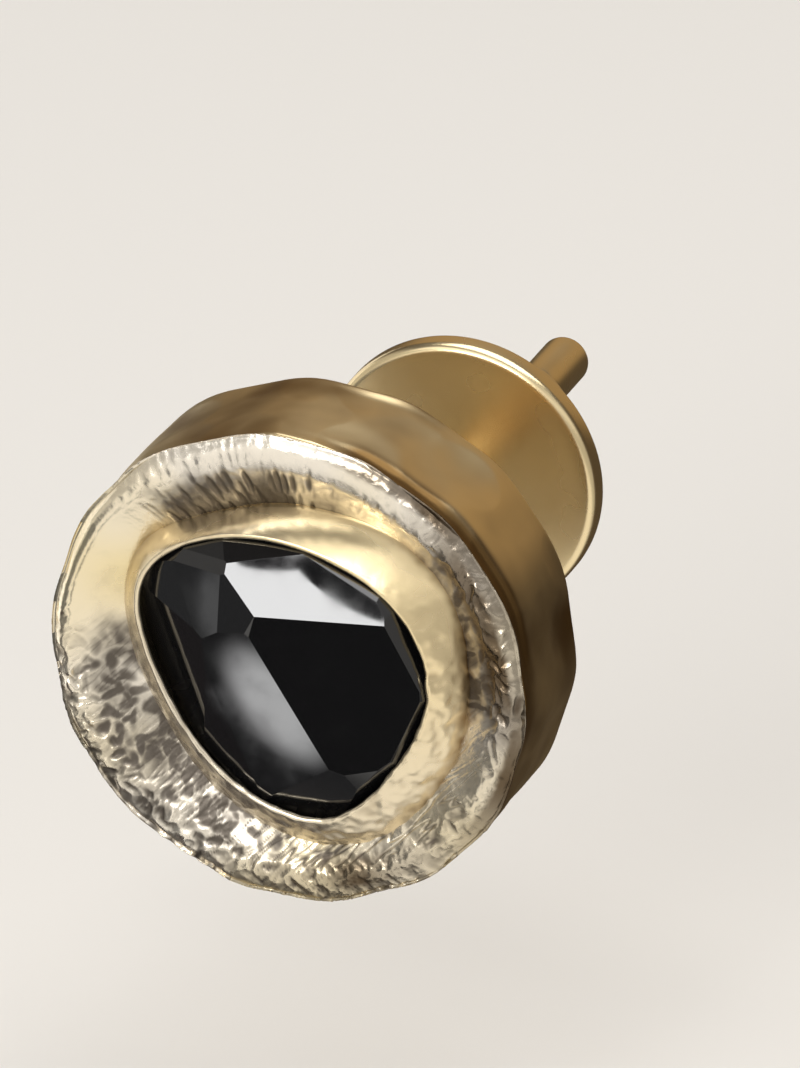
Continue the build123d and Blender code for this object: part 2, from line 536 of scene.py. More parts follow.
def arc(centre, radius, start, end, steps):
    """Points of a profile round a rounded edge, from one angle in degrees to another."""
    turns = [radians(start + (end - start) * step / steps) for step in range(steps + 1)]
    return [(centre[0] + radius * cos(turn), centre[1] + radius * sin(turn)) for turn in turns]


def run(start, end, steps):
    """Points of a profile along a straight stretch, with the end left to what follows."""
    shares = [step / steps for step in range(steps)]
    return [tuple(a + (b - a) * share for a, b in zip(start, end)) for share in shares]


def finish_piece(bm, name, node, material):
    """Turns a shape from the bench to its worn place and makes it a piece of the earring."""
    bmesh.ops.transform(bm, matrix=AS_WORN, verts=bm.verts)
    mesh = bpy.data.meshes.new(name)
    bm.to_mesh(mesh)
    bm.free()
    mesh.materials.append(material)
    old = bpy.data.objects.get(name)
    if old:
        bpy.data.objects.remove(old)
    piece = bpy.data.objects.new(name, mesh)
    bpy.context.scene.collection.objects.link(piece)
    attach(piece, BODY)
    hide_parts(node)


def dents(spot, size):
    """Broad hammer dents side by side, from -1 in the middle of a dent to 0 on the soft ridges."""
    distances = noise.voronoi(spot / size)[0]
    near = -log(sum(exp(-RIDGE_SHARPNESS * away * away) for away in distances)) / RIDGE_SHARPNESS
    return min(0, DENT_FALL * near - 1)


def dashes(along, across, layer):
    """Separate marks of uneven depth in these two directions, from -1 in the deepest to 0."""
    distances, centres = noise.voronoi(Vector((along, across, 5.3 * layer)))
    depth = 0.6 + 0.4 * noise.cell(centres[0] * 7.3)
    return -depth * max(0, 1 - (distances[0] / DASH_REACH) ** 2)


def punched(spot, size):
    """Short punch marks laid over each other in three directions."""
    marks = []
    for layer, turn in enumerate(PUNCH_TURNS):
        along = spot.x * cos(radians(turn)) + spot.y * sin(radians(turn))
        across = spot.y * cos(radians(turn)) - spot.x * sin(radians(turn))
        marks.append(dashes(along / (PUNCH_LENGTH * size), across / (PUNCH_WIDTH * size), layer))
    return min(marks)


def scratched(spot):
    """Long scratches across the ring, from -1 in the middle of a scratch to 0."""
    away = noise.noise(Vector((spot.x + spot.y, (spot.x - spot.y) * SCRATCH_STRETCH, 9)))
    return -max(0, 1 - abs(away) / SCRATCH_REACH)


def smooth_rise(value, low, high):
    """A soft step from 0 at the low value to 1 at the high one."""
    share = min(1, max(0, (value - low) / (high - low)))
    return share * share * (3 - 2 * share)


# A colour Mix node's sockets by number, because its other sockets have the same names
SHARE, FIRST, SECOND, MIXED = 0, 6, 7, 2


def add_node(tree, kind, inputs=None, **settings):
    """A node with its settings, and a value or another node's output on each named input."""
    made = tree.nodes.new(kind)
    for name, value in settings.items():
        setattr(made, name, value)
    for name, value in (inputs or {}).items():
        if isinstance(value, NodeSocket):
            tree.links.new(value, made.inputs[name])
        else:
            made.inputs[name].default_value = value
    return made


def new_material(name):
    """An empty material of this name, with its node tree and surface output."""
    material = bpy.data.materials.get(name) or bpy.data.materials.new(name)
    material.use_nodes = True
    material.node_tree.nodes.clear()
    return material, material.node_tree, add_node(material.node_tree, "ShaderNodeOutputMaterial")


def opaque(colour):
    """A colour with its alpha, as a colour socket takes it."""
    return (*colour, 1)


def cloudy_dirt_and_shade(tree, place, cloud_size, detail, spread):
    """How dirty and how shaded the metal is: as much as its painted tarnish and shade say, more or less
    of it in soft clouds.
    """
    tarnish_and_shade = add_node(tree, "ShaderNodeAttribute", attribute_name="tarnish_and_shade").outputs["Fac"]
    clouds = add_node(
        tree, "ShaderNodeTexNoise", {"Vector": place, "Scale": 1 / cloud_size, "Detail": detail}
    )
    uneven = add_node(
        tree, "ShaderNodeMath", {0: clouds.outputs["Fac"], 1: spread, 2: -spread / 2},
        operation="MULTIPLY_ADD",
    )
    dirt_and_shade = add_node(tree, "ShaderNodeMath", {0: tarnish_and_shade, 1: uneven.outputs[0]}, operation="ADD")
    stain_and_shade = add_node(
        tree, "ShaderNodeMapRange", {"Value": dirt_and_shade.outputs[0], "From Min": 0.1, "From Max": 1.0},
        interpolation_type="SMOOTHSTEP",
    )
    return dirt_and_shade.outputs[0], stain_and_shade.outputs[0]


def pale_hammered_gold():
    """Hammered champagne gold: bright satin lands, yellow where worn, dull grey-brown hollows, and
    painted shade towards the collar and on the bevel.
    """
    look = bpy.context.scene.stud.ring
    material, tree, output = new_material("pale hammered gold")
    place = add_node(tree, "ShaderNodeTexCoord").outputs["Object"]
    warmth = add_node(tree, "ShaderNodeAttribute", attribute_name="warmth").outputs["Fac"]
    brown = add_node(tree, "ShaderNodeAttribute", attribute_name="brown").outputs["Fac"]
    grain = add_node(
        tree, "ShaderNodeTexNoise", {"Vector": place, "Scale": 1 / (0.05 * MM), "Detail": 3}
    )
    dirt_and_shade, stain_and_shade = cloudy_dirt_and_shade(tree, place, cloud_size=0.7 * MM, detail=4, spread=0.9)
    metal = add_node(
        tree, "ShaderNodeMix",
        {SHARE: warmth, FIRST: opaque(look.pale_gold), SECOND: opaque(look.warm_gold)},
        data_type="RGBA",
    )
    sunk = add_node(
        tree, "ShaderNodeMix",
        {SHARE: stain_and_shade, FIRST: metal.outputs[MIXED], SECOND: opaque(look.tarnish)},
        data_type="RGBA",
    )
    colour = add_node(
        tree, "ShaderNodeMix",
        {SHARE: brown, FIRST: sunk.outputs[MIXED], SECOND: opaque(look.brown)},
        data_type="RGBA",
    )
    gloss = add_node(
        tree, "ShaderNodeMapRange",
        {"Value": dirt_and_shade, "From Min": 0.0, "From Max": 1.0, "To Min": 0.2, "To Max": 0.5},
    )
    bump = add_node(
        tree, "ShaderNodeBump", {"Height": grain.outputs["Fac"], "Strength": 0.5, "Distance": 0.006 * MM}
    )
    shader = add_node(
        tree, "ShaderNodeBsdfPrincipled",
        {
            "Base Color": colour.outputs[MIXED], "Metallic": 1.0, "Roughness": gloss.outputs[0],
            "Normal": bump.outputs[0],
        },
    )
    tree.links.new(shader.outputs[0], output.inputs["Surface"])
    return material


def polished_yellow_gold():
    """Hand-polished yellow gold: soft bright sheen with faint wear lines, brown in its hollows, painted
    shade and painted dark reflections.
    """
    look = bpy.context.scene.stud.metal
    material, tree, output = new_material("polished yellow gold")
    place = add_node(tree, "ShaderNodeTexCoord").outputs["Object"]
    pale = add_node(tree, "ShaderNodeAttribute", attribute_name="pale").outputs["Fac"]
    strokes = add_node(
        tree, "ShaderNodeMapping", {"Vector": place, "Rotation": (0.5, 0.3, 0.8), "Scale": (1, 1, 0.06)}
    )
    hairs = add_node(
        tree, "ShaderNodeTexNoise",
        {"Vector": strokes.outputs[0], "Scale": 1 / (0.03 * MM), "Detail": 3, "Distortion": 0.4},
    )
    dirt_and_shade, stain_and_shade = cloudy_dirt_and_shade(tree, place, cloud_size=1.2 * MM, detail=2, spread=0.8)
    metal = add_node(
        tree, "ShaderNodeMix", {SHARE: pale, FIRST: opaque(look.gold), SECOND: opaque(look.rubbed)},
        data_type="RGBA",
    )
    colour = add_node(
        tree, "ShaderNodeMix",
        {SHARE: stain_and_shade, FIRST: metal.outputs[MIXED], SECOND: opaque(look.tarnish)},
        data_type="RGBA",
    )
    gloss = add_node(
        tree, "ShaderNodeMapRange",
        {"Value": dirt_and_shade, "From Min": -0.2, "From Max": 1.0, "To Min": 0.22, "To Max": 0.45},
    )
    bump = add_node(
        tree, "ShaderNodeBump", {"Height": hairs.outputs["Fac"], "Strength": 0.3, "Distance": 0.002 * MM}
    )
    shader = add_node(
        tree, "ShaderNodeBsdfPrincipled",
        {
            "Base Color": colour.outputs[MIXED], "Metallic": 1.0, "Roughness": gloss.outputs[0],
            "Normal": bump.outputs[0],
        },
    )
    tree.links.new(shader.outputs[0], output.inputs["Surface"])
    return material


def polished_black_stone():
    """Polished opaque black stone: mirror facets with the faintest haze of polishing lines."""
    look = bpy.context.scene.stud.stone
    material, tree, output = new_material("polished black stone")
    place = add_node(tree, "ShaderNodeTexCoord").outputs["Object"]
    haze = add_node(tree, "ShaderNodeTexNoise", {"Vector": place, "Scale": 1 / (0.5 * MM), "Detail": 6})
    gloss = add_node(
        tree, "ShaderNodeMapRange",
        {
            "Value": haze.outputs["Fac"], "From Min": 0.35, "From Max": 0.75,
            "To Min": 0.03, "To Max": 0.09,
        },
    )
    shader = add_node(
        tree, "ShaderNodeBsdfPrincipled",
        {"Base Color": opaque(look.black), "Roughness": gloss.outputs[0], "IOR": 1.72},
    )
    tree.links.new(shader.outputs[0], output.inputs["Surface"])
    return material


RingSection = namedtuple("RingSection", "profile start crest roll_end bevel_end seam buried")


class STUD_OT_hammered_ring(Operator):
    """Make the pale hammered ring with its bevelled edge"""

    bl_idname = "stud.hammered_ring"
    bl_label = "Hammered Ring"

    def execute(self, context):
        ring = context.scene.stud.ring
        section = self.section(ring)
        bm = turned(section.profile, RING_STEPS)
        self.fit(bm, ring, section)
        self.hammer(bm, ring, section)
        finish_piece(bm, "hammered_ring", "setting", pale_hammered_gold())
        return {"FINISHED"}

    def section(self, ring):
        """The round ring's profile: its dished face, rolled edge, bevel and hidden back."""
        seam = ring.front_edge - ring.bevel
        outer_radius = ring.front_radius + ring.bevel
        buried = ring.front_edge - RING_BURIED
        # The face climbs at the dish's slope and rolls over. The roll ends where it is as steep as
        # the bevel, or sooner, where it has come down as far as the bevel's end.
        take = ring.roll * tan((ring.dish + radians(BEVEL_SLOPE)) / 2)
        crest = (ring.front_radius - take * cos(ring.dish), ring.front_edge - take * sin(ring.dish))
        middle = (crest[0] + ring.roll * sin(ring.dish), crest[1] - ring.roll * cos(ring.dish))
        bevel_end = Vector((outer_radius - EDGE_ROUNDING / 2, seam + EDGE_ROUNDING / 2))
        steepest = max(BEVEL_SLOPE, degrees(asin((bevel_end.y - middle[1]) / ring.roll)))
        start = crest[0] - 1.2 * MM
        profile = run((start, crest[1]), crest, 44)
        profile += arc(middle, ring.roll, 90 + degrees(ring.dish), steepest, 14)
        roll_end = Vector(profile[-1])
        profile += run(profile[-1], bevel_end, 5)[1:]
        profile += arc((outer_radius - EDGE_ROUNDING, seam + EDGE_ROUNDING), EDGE_ROUNDING, 25, -60, 4)
        profile += [(ring.front_radius - 0.1 * MM, seam - 0.02 * MM)]
        profile += [(ring.front_radius - 0.3 * MM, buried), (start, buried)]
        return RingSection(profile, start, crest[0], roll_end, bevel_end, seam, buried)

    def fit(self, bm, ring, section):
        """Fits the round ring to the collar's foot and the drum's side, and varies its rolled edge."""
        inner = collar_foot() - RING_LAP
        side = side_radii()
        rolls = all_round(EDGE_ROLLS, "share", 8)
        corner = Vector((ring.front_radius, ring.front_edge))
        for vert in bm.verts:
            bearing = bearing_of(vert.co)
            reach, height = hypot(vert.co.x, vert.co.y), vert.co.z
            rolled = at(rolls, bearing)
            if reach < section.crest:
                share = (reach - section.start) / (section.crest - section.start)
                face_end = corner.x + (section.crest - corner.x) * rolled
                reach = at(inner, bearing) * (1 - share) + face_end * share
                if height > section.buried + EDGE_ROUNDING:
                    height = corner.y - (corner.x - reach) * tan(ring.dish)
            elif height > section.seam + EDGE_ROUNDING / 4 and reach < section.bevel_end.x:
                past_roll = max(0, reach - section.roll_end.x)
                beyond = past_roll / (section.bevel_end.x - section.roll_end.x)
                on_roll = section.roll_end if beyond else Vector((reach, height))
                from_corner = ((on_roll - corner) * rolled).lerp(section.bevel_end - corner, beyond)
                reach, height = corner + from_corner
            if reach > corner.x:
                reach += (reach - corner.x) / ring.bevel * (at(side, bearing) - corner.x - ring.bevel)
            vert.co = on_bench(bearing, reach, height)

    def hammer(self, bm, ring, section):
        """Strikes the marks into the metal, and paints its tarnish, the painted shade towards the
        collar, warmth and brown.
        """
        layers = bm.verts.layers.float
        tarnish_and_shade, warmth, brown = (layers.new(name) for name in ("tarnish_and_shade", "warmth", "brown"))
        finish = {name: all_round(RING_FINISH, name) for name in Finish._fields[1:]}
        noise.seed_set(WANDER_SEED)
        bm.normal_update()
        for vert in bm.verts:
            if vert.co.z <= section.buried + HAIR:
                continue
            bearing = bearing_of(vert.co)
            radius = hypot(vert.co.x, vert.co.y)
            share = {name: at(values, bearing) for name, values in finish.items()}
            # Patterns are worked out in millimetres, with soft swells 1.3 mm apart and grit of 0.11 mm.
            spot = vert.co / MM
            wander = spot + 0.12 * noise.noise_vector(spot / 0.35)
            swell = noise.noise(spot / 1.3)
            grit = noise.noise(spot / 0.11)
            round_the_ring = radians(bearing) * ring.front_radius
            dent = share["dents"] * dents(wander, ring.dent_size / MM)
            pit = share["pits"] * punched(wander, ring.pit_size / MM)
            stroke = share["strokes"] * dashes(round_the_ring / ring.stroke_gap, 1.8 * radius / MM, 9)
            scratch = share["scratches"] * scratched(spot)
            # Pits stop at the seam, and strokes and the painted shade weaken towards the outer edge.
            fade = smooth_rise(vert.co.z, section.seam, section.seam + 0.2 * MM)
            inward = smooth_rise(ring.front_radius - radius, 0.1 * MM, 0.6 * MM)
            depth = ring.dent_depth * dent + ring.pit_depth * pit * fade
            depth += ring.stroke_depth * stroke * (0.35 + 0.65 * inward) + SCRATCH_DEPTH * scratch
            depth += RING_SWELL * swell + RING_GRIT * grit * (share["pits"] + share["strokes"])
            vert.co += vert.normal * depth
            # Tarnish gathers most in the pits and least in the broad dents. The shade column adds
            # painted shade towards the collar.
            sunk = 0.25 * dent + 1.1 * pit + stroke * (0.2 + 0.8 * inward) + 0.6 * scratch
            vert[tarnish_and_shade] = min(1, share["shade"] * inward * 0.75 - sunk * share["tarnish"])
            vert[warmth] = min(1, max(0, share["warmth"] + 0.5 * swell))
            # The brown has ragged edges, one on the outer part of the face and one along the bevel,
            # where it is painted shade.
            ragged = radius - ring.front_radius + 0.06 * MM * swell + 0.03 * MM * grit
            outer = smooth_rise(ragged, -0.6 * MM, -0.3 * MM)
            bevel_shade = smooth_rise(ragged, -0.04 * MM, 0.08 * MM)
            vert[brown] = outer * (1 - bevel_shade) * share["brown"] + bevel_shade * share["bevel"]


class STUD_OT_collar(Operator):
    """Make the raised collar with its lip over the stone's edge"""

    bl_idname = "stud.collar"
    bl_label = "Collar"

    def execute(self, context):
        collar = context.scene.stud.collar
        edge, foot = stone_edge(), collar_foot()
        bottom = collar.top - collar.drop - COLLAR_BURIED
        # The profile runs from the pocket's wall over the lip and down the slope. Its radius is
        # measured from the stone's edge, with the slope one millimetre wide, and is then fitted.
        base = 1 * MM
        wall = base + collar.lap + CLEARANCE
        round_top = collar.land / 2
        middle = (base + round_top, collar.top - round_top)
        profile = [(wall, bottom)]
        profile += run((wall, collar.top - collar.lip), (base + HAIR, collar.top - round_top), 6)
        profile += arc(middle, round_top, 180, 70, 10)
        inset = profile[-1][0] - base
        profile += run(profile[-1], (2 * base, collar.top - collar.drop), 26)[1:]
        profile += [(2 * base, collar.top - collar.drop), (2 * base, bottom)]
        bm = turned(profile, DRUM_STEPS)
        for vert in bm.verts:
            bearing = bearing_of(vert.co)
            offset = hypot(vert.co.x, vert.co.y) - base
            inner, outer = at(edge, bearing), at(foot, bearing)
            height = vert.co.z
            if offset > inset:
                share = (offset - inset) / (base - inset)
                offset = inset * (1 - share) + (outer - inner) * share
                if height > bottom + HAIR:
                    height += collar.crown * sin(pi * share)
            vert.co = on_bench(bearing, inner + offset, height)
        self.work(bm, foot, bottom)
        finish_piece(bm, "collar", "setting", polished_yellow_gold())
        return {"FINISHED"}

    def work(self, bm, foot, bottom):
        """Leaves the metal as lumpy as worked by hand, and paints its tarnish, rubbed places and painted
        shade along its foot.
        """
        layers = bm.verts.layers.float
        tarnish_and_shade, pale = (layers.new(name) for name in ("tarnish_and_shade", "pale"))
        lumps, rubbed, crease_shade = (
            all_round(COLLAR_SLOPE, name, 8) for name in ("lumps", "pale", "crease")
        )
        bm.normal_update()
        for vert in bm.verts:
            if vert.co.z <= bottom + HAIR:
                continue
            bearing = bearing_of(vert.co)
            rough = at(lumps, bearing)
            spot = vert.co / MM
            swell = noise.noise(spot / 0.8)
            lump = noise.noise(spot / 0.28) + 0.5 * noise.noise(spot / 0.14)
            vert.co += vert.normal * (COLLAR_SWELL * swell + COLLAR_LUMPS * rough * lump)
            # Tarnish lies in the lumps' hollows, and painted shade in the crease along the collar's
            # foot.
            beyond = hypot(vert.co.x, vert.co.y) - at(foot, bearing)
            crease = smooth_rise(beyond + 0.05 * MM * lump, -0.2 * MM, 0.0)
            vert[tarnish_and_shade] = min(1, max(0, -lump * rough * 0.55) + at(crease_shade, bearing) * crease)
            vert[pale] = at(rubbed, bearing)


class STUD_OT_drum_wall(Operator):
    """Make the drum's side with its planished flats, and its flat back"""

    bl_idname = "stud.drum_wall"
    bl_label = "Drum Wall"

    def execute(self, context):
        ring, side = context.scene.stud.ring, context.scene.stud.side
        radii = side_radii()
        radius = max(radii)
        seam = ring.front_edge - ring.bevel
        inside = seam - WALL_BURIED
        soft, rounding = EDGE_ROUNDING, side.rounding
        profile = [(0, inside), (radius - 0.6 * MM, inside), (radius - 0.5 * MM, seam - CLEARANCE)]
        profile += [(radius - 2 * soft, seam)]
        profile += arc((radius - soft, seam - soft), soft, 90, 0, 4)
        profile += run((radius, seam - soft), (radius, rounding), 40)[1:]
        profile += arc((radius - rounding, rounding), rounding, 0, -90, 8)
        profile += run((radius - rounding, 0), (0, 0), 12)[1:] + [(0, 0)]
        bm = turned(profile, DRUM_STEPS)
        for vert in bm.verts:
            bearing = bearing_of(vert.co)
            reach = hypot(vert.co.x, vert.co.y) * at(radii, bearing) / radius
            vert.co = on_bench(bearing, reach, vert.co.z)
        self.hammer(bm, side, radius, seam)
        finish_piece(bm, "drum_wall", "setting", polished_yellow_gold())
        return {"FINISHED"}

    def hammer(self, bm, side, radius, seam):
        """Dents the side, sinks the groove behind the ring, and paints tarnish, with painted dark
        reflections and painted shade in the groove.
        """
        tarnish_and_shade = bm.verts.layers.float.new("tarnish_and_shade")
        whole, band = (all_round(SIDE_SHADE, name) for name in ("whole", "band"))
        noise.seed_set(WANDER_SEED)
        bm.normal_update()
        for vert in bm.verts:
            # The back and the hidden inside stay flat, with a little tarnish all over.
            if hypot(vert.co.x, vert.co.y) < radius - 0.35 * MM:
                vert[tarnish_and_shade] = 0.1
                continue
            bearing = bearing_of(vert.co)
            in_band = at(band, bearing)
            spot = vert.co / MM
            swell = noise.noise(spot / 0.9)
            dent = dents(spot + 0.1 * noise.noise_vector(spot), side.dent_size / MM)
            fade = smooth_rise(vert.co.z, 0.0, 0.3 * MM)
            vert.co += vert.normal * fade * (side.dent_depth * dent + SIDE_SWELL * swell)
            height = vert.co.z
            groove = side.groove_depth * smooth_rise(height, seam - 0.35 * MM, seam - 0.2 * MM)
            vert.co -= on_bench(bearing, groove * in_band, 0)
            # Painted shade darkens a band behind the ring's edge, and painted dark reflections lie over
            # the side's whole depth at some bearings.
            ragged = height + 0.1 * MM * swell
            near_front = in_band * smooth_rise(ragged, seam - 0.5 * MM, seam - 0.15 * MM)
            painted_dark = 0.6 * at(whole, bearing) + 0.9 * near_front
            vert[tarnish_and_shade] = min(1, 0.15 - 0.2 * dent + 0.4 * max(0, -swell) + painted_dark)


class STUD_OT_post(Operator):
    """Make the straight post with its solder, notch and rounded tip"""

    bl_idname = "stud.post"
    bl_label = "Post"

    def execute(self, context):
        post = context.scene.stud.post
        radius, solder, tip = post.radius, post.solder, post.tip_rounding
        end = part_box("setting")[1].y
        notch = end - post.notch_from_tip
        half_width = post.notch_width / 2
        curve = (half_width**2 + post.notch_depth**2) / (2 * post.notch_depth)
        spread = degrees(atan2(half_width, curve - post.notch_depth))
        middle = (radius - post.notch_depth + curve, -notch)
        profile = [(0, POST_BURIED), (radius + solder, POST_BURIED)]
        profile += arc((radius + solder, -solder), solder, 90, 180, 8)
        profile += run(profile[-1], (radius, -notch + half_width), 20)[1:]
        profile += arc(middle, curve, 180 - spread, 180 + spread, 10)
        profile += run(profile[-1], (radius, -end + tip), 6)[1:]
        profile += arc((radius - tip, -end + tip), tip, 0, -90, 8)
        profile += [(0, -end)]
        bm = turned(profile, POST_STEPS)
        tarnish_and_shade = bm.verts.layers.float.new("tarnish_and_shade")
        # The post is darker near the drum's back, where it leaves it.
        for vert in bm.verts:
            vert[tarnish_and_shade] = 0.25 * (1 - smooth_rise(-vert.co.z, 0.05 * MM, 0.5 * MM))
        finish_piece(bm, "post", "setting", polished_yellow_gold())
        return {"FINISHED"}


class STUD_OT_stone(Operator):
    """Make the black stone with worn edges between its facets"""

    bl_idname = "stud.stone"
    bl_label = "Stone"

    def execute(self, context):
        bm = bmesh.new()
        bm.from_mesh(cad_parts["stone"].data)
        bmesh.ops.transform(bm, matrix=AS_WORN.inverted(), verts=bm.verts)
        bmesh.ops.remove_doubles(bm, verts=bm.verts, dist=0.001 * MM)
        bmesh.ops.dissolve_limit(bm, angle_limit=radians(0.5), verts=bm.verts, edges=bm.edges)
        bmesh.ops.recalc_face_normals(bm, faces=bm.faces)
        bm.normal_update()
        # The edges between facets wear, those along the round girdle and the base don't.
        base = -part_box("stone")[1].y
        worn = [
            line for line in bm.edges
            if line.is_manifold and line.calc_face_angle() > radians(3)
            and not all(abs(face.normal.z) < 0.1 for face in line.link_faces)
            and min(vert.co.z for vert in line.verts) > base + 0.1 * MM
        ]
        bmesh.ops.bevel(
            bm, geom=worn, offset=context.scene.stud.stone.edge, offset_type="OFFSET", segments=2,
            profile=0.5, affect="EDGES", clamp_overlap=True, material=-1,
        )
        finish_piece(bm, "black_stone", "stone", polished_black_stone())
        return {"FINISHED"}


class STUD_OT_ear_nut(Operator):
    """Make the turned friction nut behind the lobe"""

    bl_idname = "stud.ear_nut"
    bl_label = "Ear Nut"

    def execute(self, context):
        nut = context.scene.stud.nut
        low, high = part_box("ear_nut")
        radius, near, far = high.x, -low.y, -high.y
        behind = near - nut.flange
        bore = context.scene.stud.post.radius + CLEARANCE
        hub, soft = nut.hub_radius, nut.rounding
        profile = run((bore, near), (radius - soft, near), 10)
        profile += arc((radius - soft, near - soft), soft, 90, 0, 8)
        profile += arc((radius - soft, behind + soft), soft, 0, -90, 8)
        profile += run((radius - soft, behind), (hub + soft, behind), 8)[1:]
        profile += arc((hub + soft, behind - soft), soft, 90, 180, 8)
        profile += run(profile[-1], (hub, far + soft), 8)[1:]
        profile += arc((hub - soft, far + soft), soft, 0, -90, 8)
        profile += [(bore, far)]
        bm = turned(profile, NUT_STEPS)
        bm.verts.layers.float.new("tarnish_and_shade")
        finish_piece(bm, "ear_nut_turned", "ear_nut", polished_yellow_gold())
        return {"FINISHED"}


# Soft lights, each seen from the earring in a direction and at a distance in millimetres. The
# brightness is what a mirror would show of it.
Light = namedtuple("Light", "name azimuth elevation distance width height brightness")
SOFTBOXES = [
    Light("front softbox", -8, 22.5, 160, 76, 32, 10.5),
    Light("high front softbox", -16, 44, 160, 170, 74, 1.1),
    Light("top softbox", -200, 80, 190, 200, 160, 3.1),
    Light("right softbox", 51, 38, 170, 190, 130, 0.4),
    Light("left rear softbox", -112, -6, 160, 150, 150, 0.9),
]

# The room round the stage: its parts in order, each a round patch laid over those before it, with
# the direction of its middle, how many degrees it reaches from there, and how light and warm it is
Room = namedtuple("Room", "azimuth elevation reach red green blue")
ROOM = [
    Room(180, 0, 85, 0.08, 0.06, 0.04),
    Room(180, 28, 38, 0.36, 0.25, 0.13),
    Room(0, 90, 54, 0.12, 0.11, 0.10),
    Room(22, -43, 36, 0.95, 0.92, 0.87),
    Room(-22, -12, 24, 0.95, 0.92, 0.87),
    Room(-78, -50, 24, 0.06, 0.05, 0.05),
    Room(-66, -10, 12, 0.80, 0.77, 0.72),
    Room(-128, -36, 22, 0.75, 0.71, 0.65),
]
ROOM_FRONT = (0.5, 0.48, 0.45)  # the room's light where no patch lies
ROOM_SOFTNESS = 8  # degrees over which a patch fades, inside its reach and beyond it

# Cards that only reflections see. Each is what a facet of the stone mirrors to the camera round one
# spot of the face, so that the stone stays dark and shows one soft glow. The facet is given by its
# bearing and slope in degrees, the spot and sizes are in millimetres, and the size and roll are as
# the camera sees them in the facet. The softness is the share of the card that fades out.
Card = namedtuple("Card", "name bearing slope x y distance width height roll brightness softness")
CARDS = [
    Card("table flag", -15, 9, 0.7, -0.2, 60, 14, 13, 0, 0.03, 0.15),
    Card("left flag", 162, 19, -1.5, 0.6, 20, 18, 13, 0, 0.16, 0.1),
    Card("strip card", 163, 19.5, -1.2, 1.05, 18, 0.85, 1.6, 0, 0.8, 0.3),
    Card("upper flag", 72, 24.5, 1.05, 1.76, 7, 1.9, 0.46, -32, 0.02, 0.1),
    Card("top flag", 72, 24.5, -0.03, 2.06, 7, 1.4, 0.3, 0, 0.02, 0.1),
    Card("low left flag", 232, 14, -0.6, -0.9, 20, 8, 7, 0, 0.06, 0.15),
    Card("low flag", 290, 23, 0.2, -2.0, 20, 12, 7, 0, 0.1, 0.15),
    Card("glow card", 236, 13.6, -0.3, -0.85, 18, 1.3, 3.0, 40, 4.4, 0.6),
    Card("glint card", 226, 18, -1.2, -0.9, 18, 0.7, 1.2, 30, 2.4, 0.6),
]
FACE_HEIGHT = 2.9  # of the stone's facets in front of the drum's back, in millimetres
CAMERA_AIM = (0.9 * MM, 1.15 * MM, 0)  # right of and above the drum's back, as the camera sees it


def towards(azimuth, elevation, distance):
    """The point seen from the earring at this azimuth and elevation, 0 straight in front of the face."""
    across, rise = radians(azimuth), radians(elevation)
    return distance * Vector((sin(across) * cos(rise), -cos(across) * cos(rise), sin(rise)))


